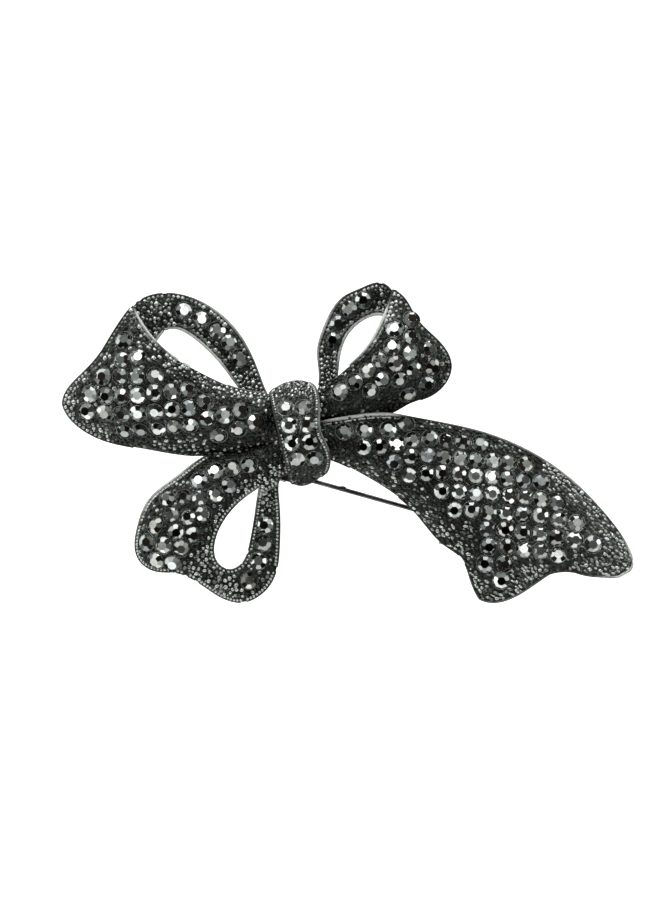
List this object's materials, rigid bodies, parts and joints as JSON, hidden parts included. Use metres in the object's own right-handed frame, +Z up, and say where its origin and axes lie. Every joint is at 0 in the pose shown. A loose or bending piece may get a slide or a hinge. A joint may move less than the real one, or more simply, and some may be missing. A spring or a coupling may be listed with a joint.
{
  "type": "bow brooch",
  "caption": "Cast ribbon-bow brooch with knot, loops and a long tail set with small round stones, and a hinged pin with a turning safety catch on the back.",
  "frame": {"origin": "middle of the pin stem, on the stem's axis", "axes": "+Z up as worn, -Y out of the decorated front, +Y towards the cloth, +X to the viewer's right"},
  "size_m": [0.0742, 0.0136, 0.0416],
  "materials": {
    "gunmetal": "satin",
    "stone": "polished",
    "steel": "satin",
    "pin_steel": "gloss"
  },
  "bodies": {
    "brooch": {"left_loop": "gunmetal", "left_loop_stones": "stone", "left_loop_rear_stones": "stone", "upper_loop": "gunmetal", "upper_loop_stones": "stone", "upper_loop_rear_stones": "stone", "lower_loop": "gunmetal", "lower_loop_stones": "stone", "lower_loop_rear_stones": "stone", "tail": "gunmetal", "tail_stones": "stone", "knot": "gunmetal", "knot_stones": "stone", "hinge_base": "steel", "hinge_rivet": "steel", "catch_housing": "steel"},
    "stem": {"pin_stem": "pin_steel"},
    "catch": {"catch_roller": "steel"}
  },
  "joints": [
    {"name": "pin_hinge", "type": "hinge", "parent": "brooch", "child": "stem", "pos_m": [-0.01078, 0, 0.00303], "axis": [0.2706, 0, 0.9627], "range_deg": [0, 100]},
    {"name": "catch_turn", "type": "hinge", "parent": "brooch", "child": "catch", "pos_m": [0.01093, 0, -0.00307], "axis": [0.9627, 0, -0.2706], "range_deg": [0, 90]}
  ]
}
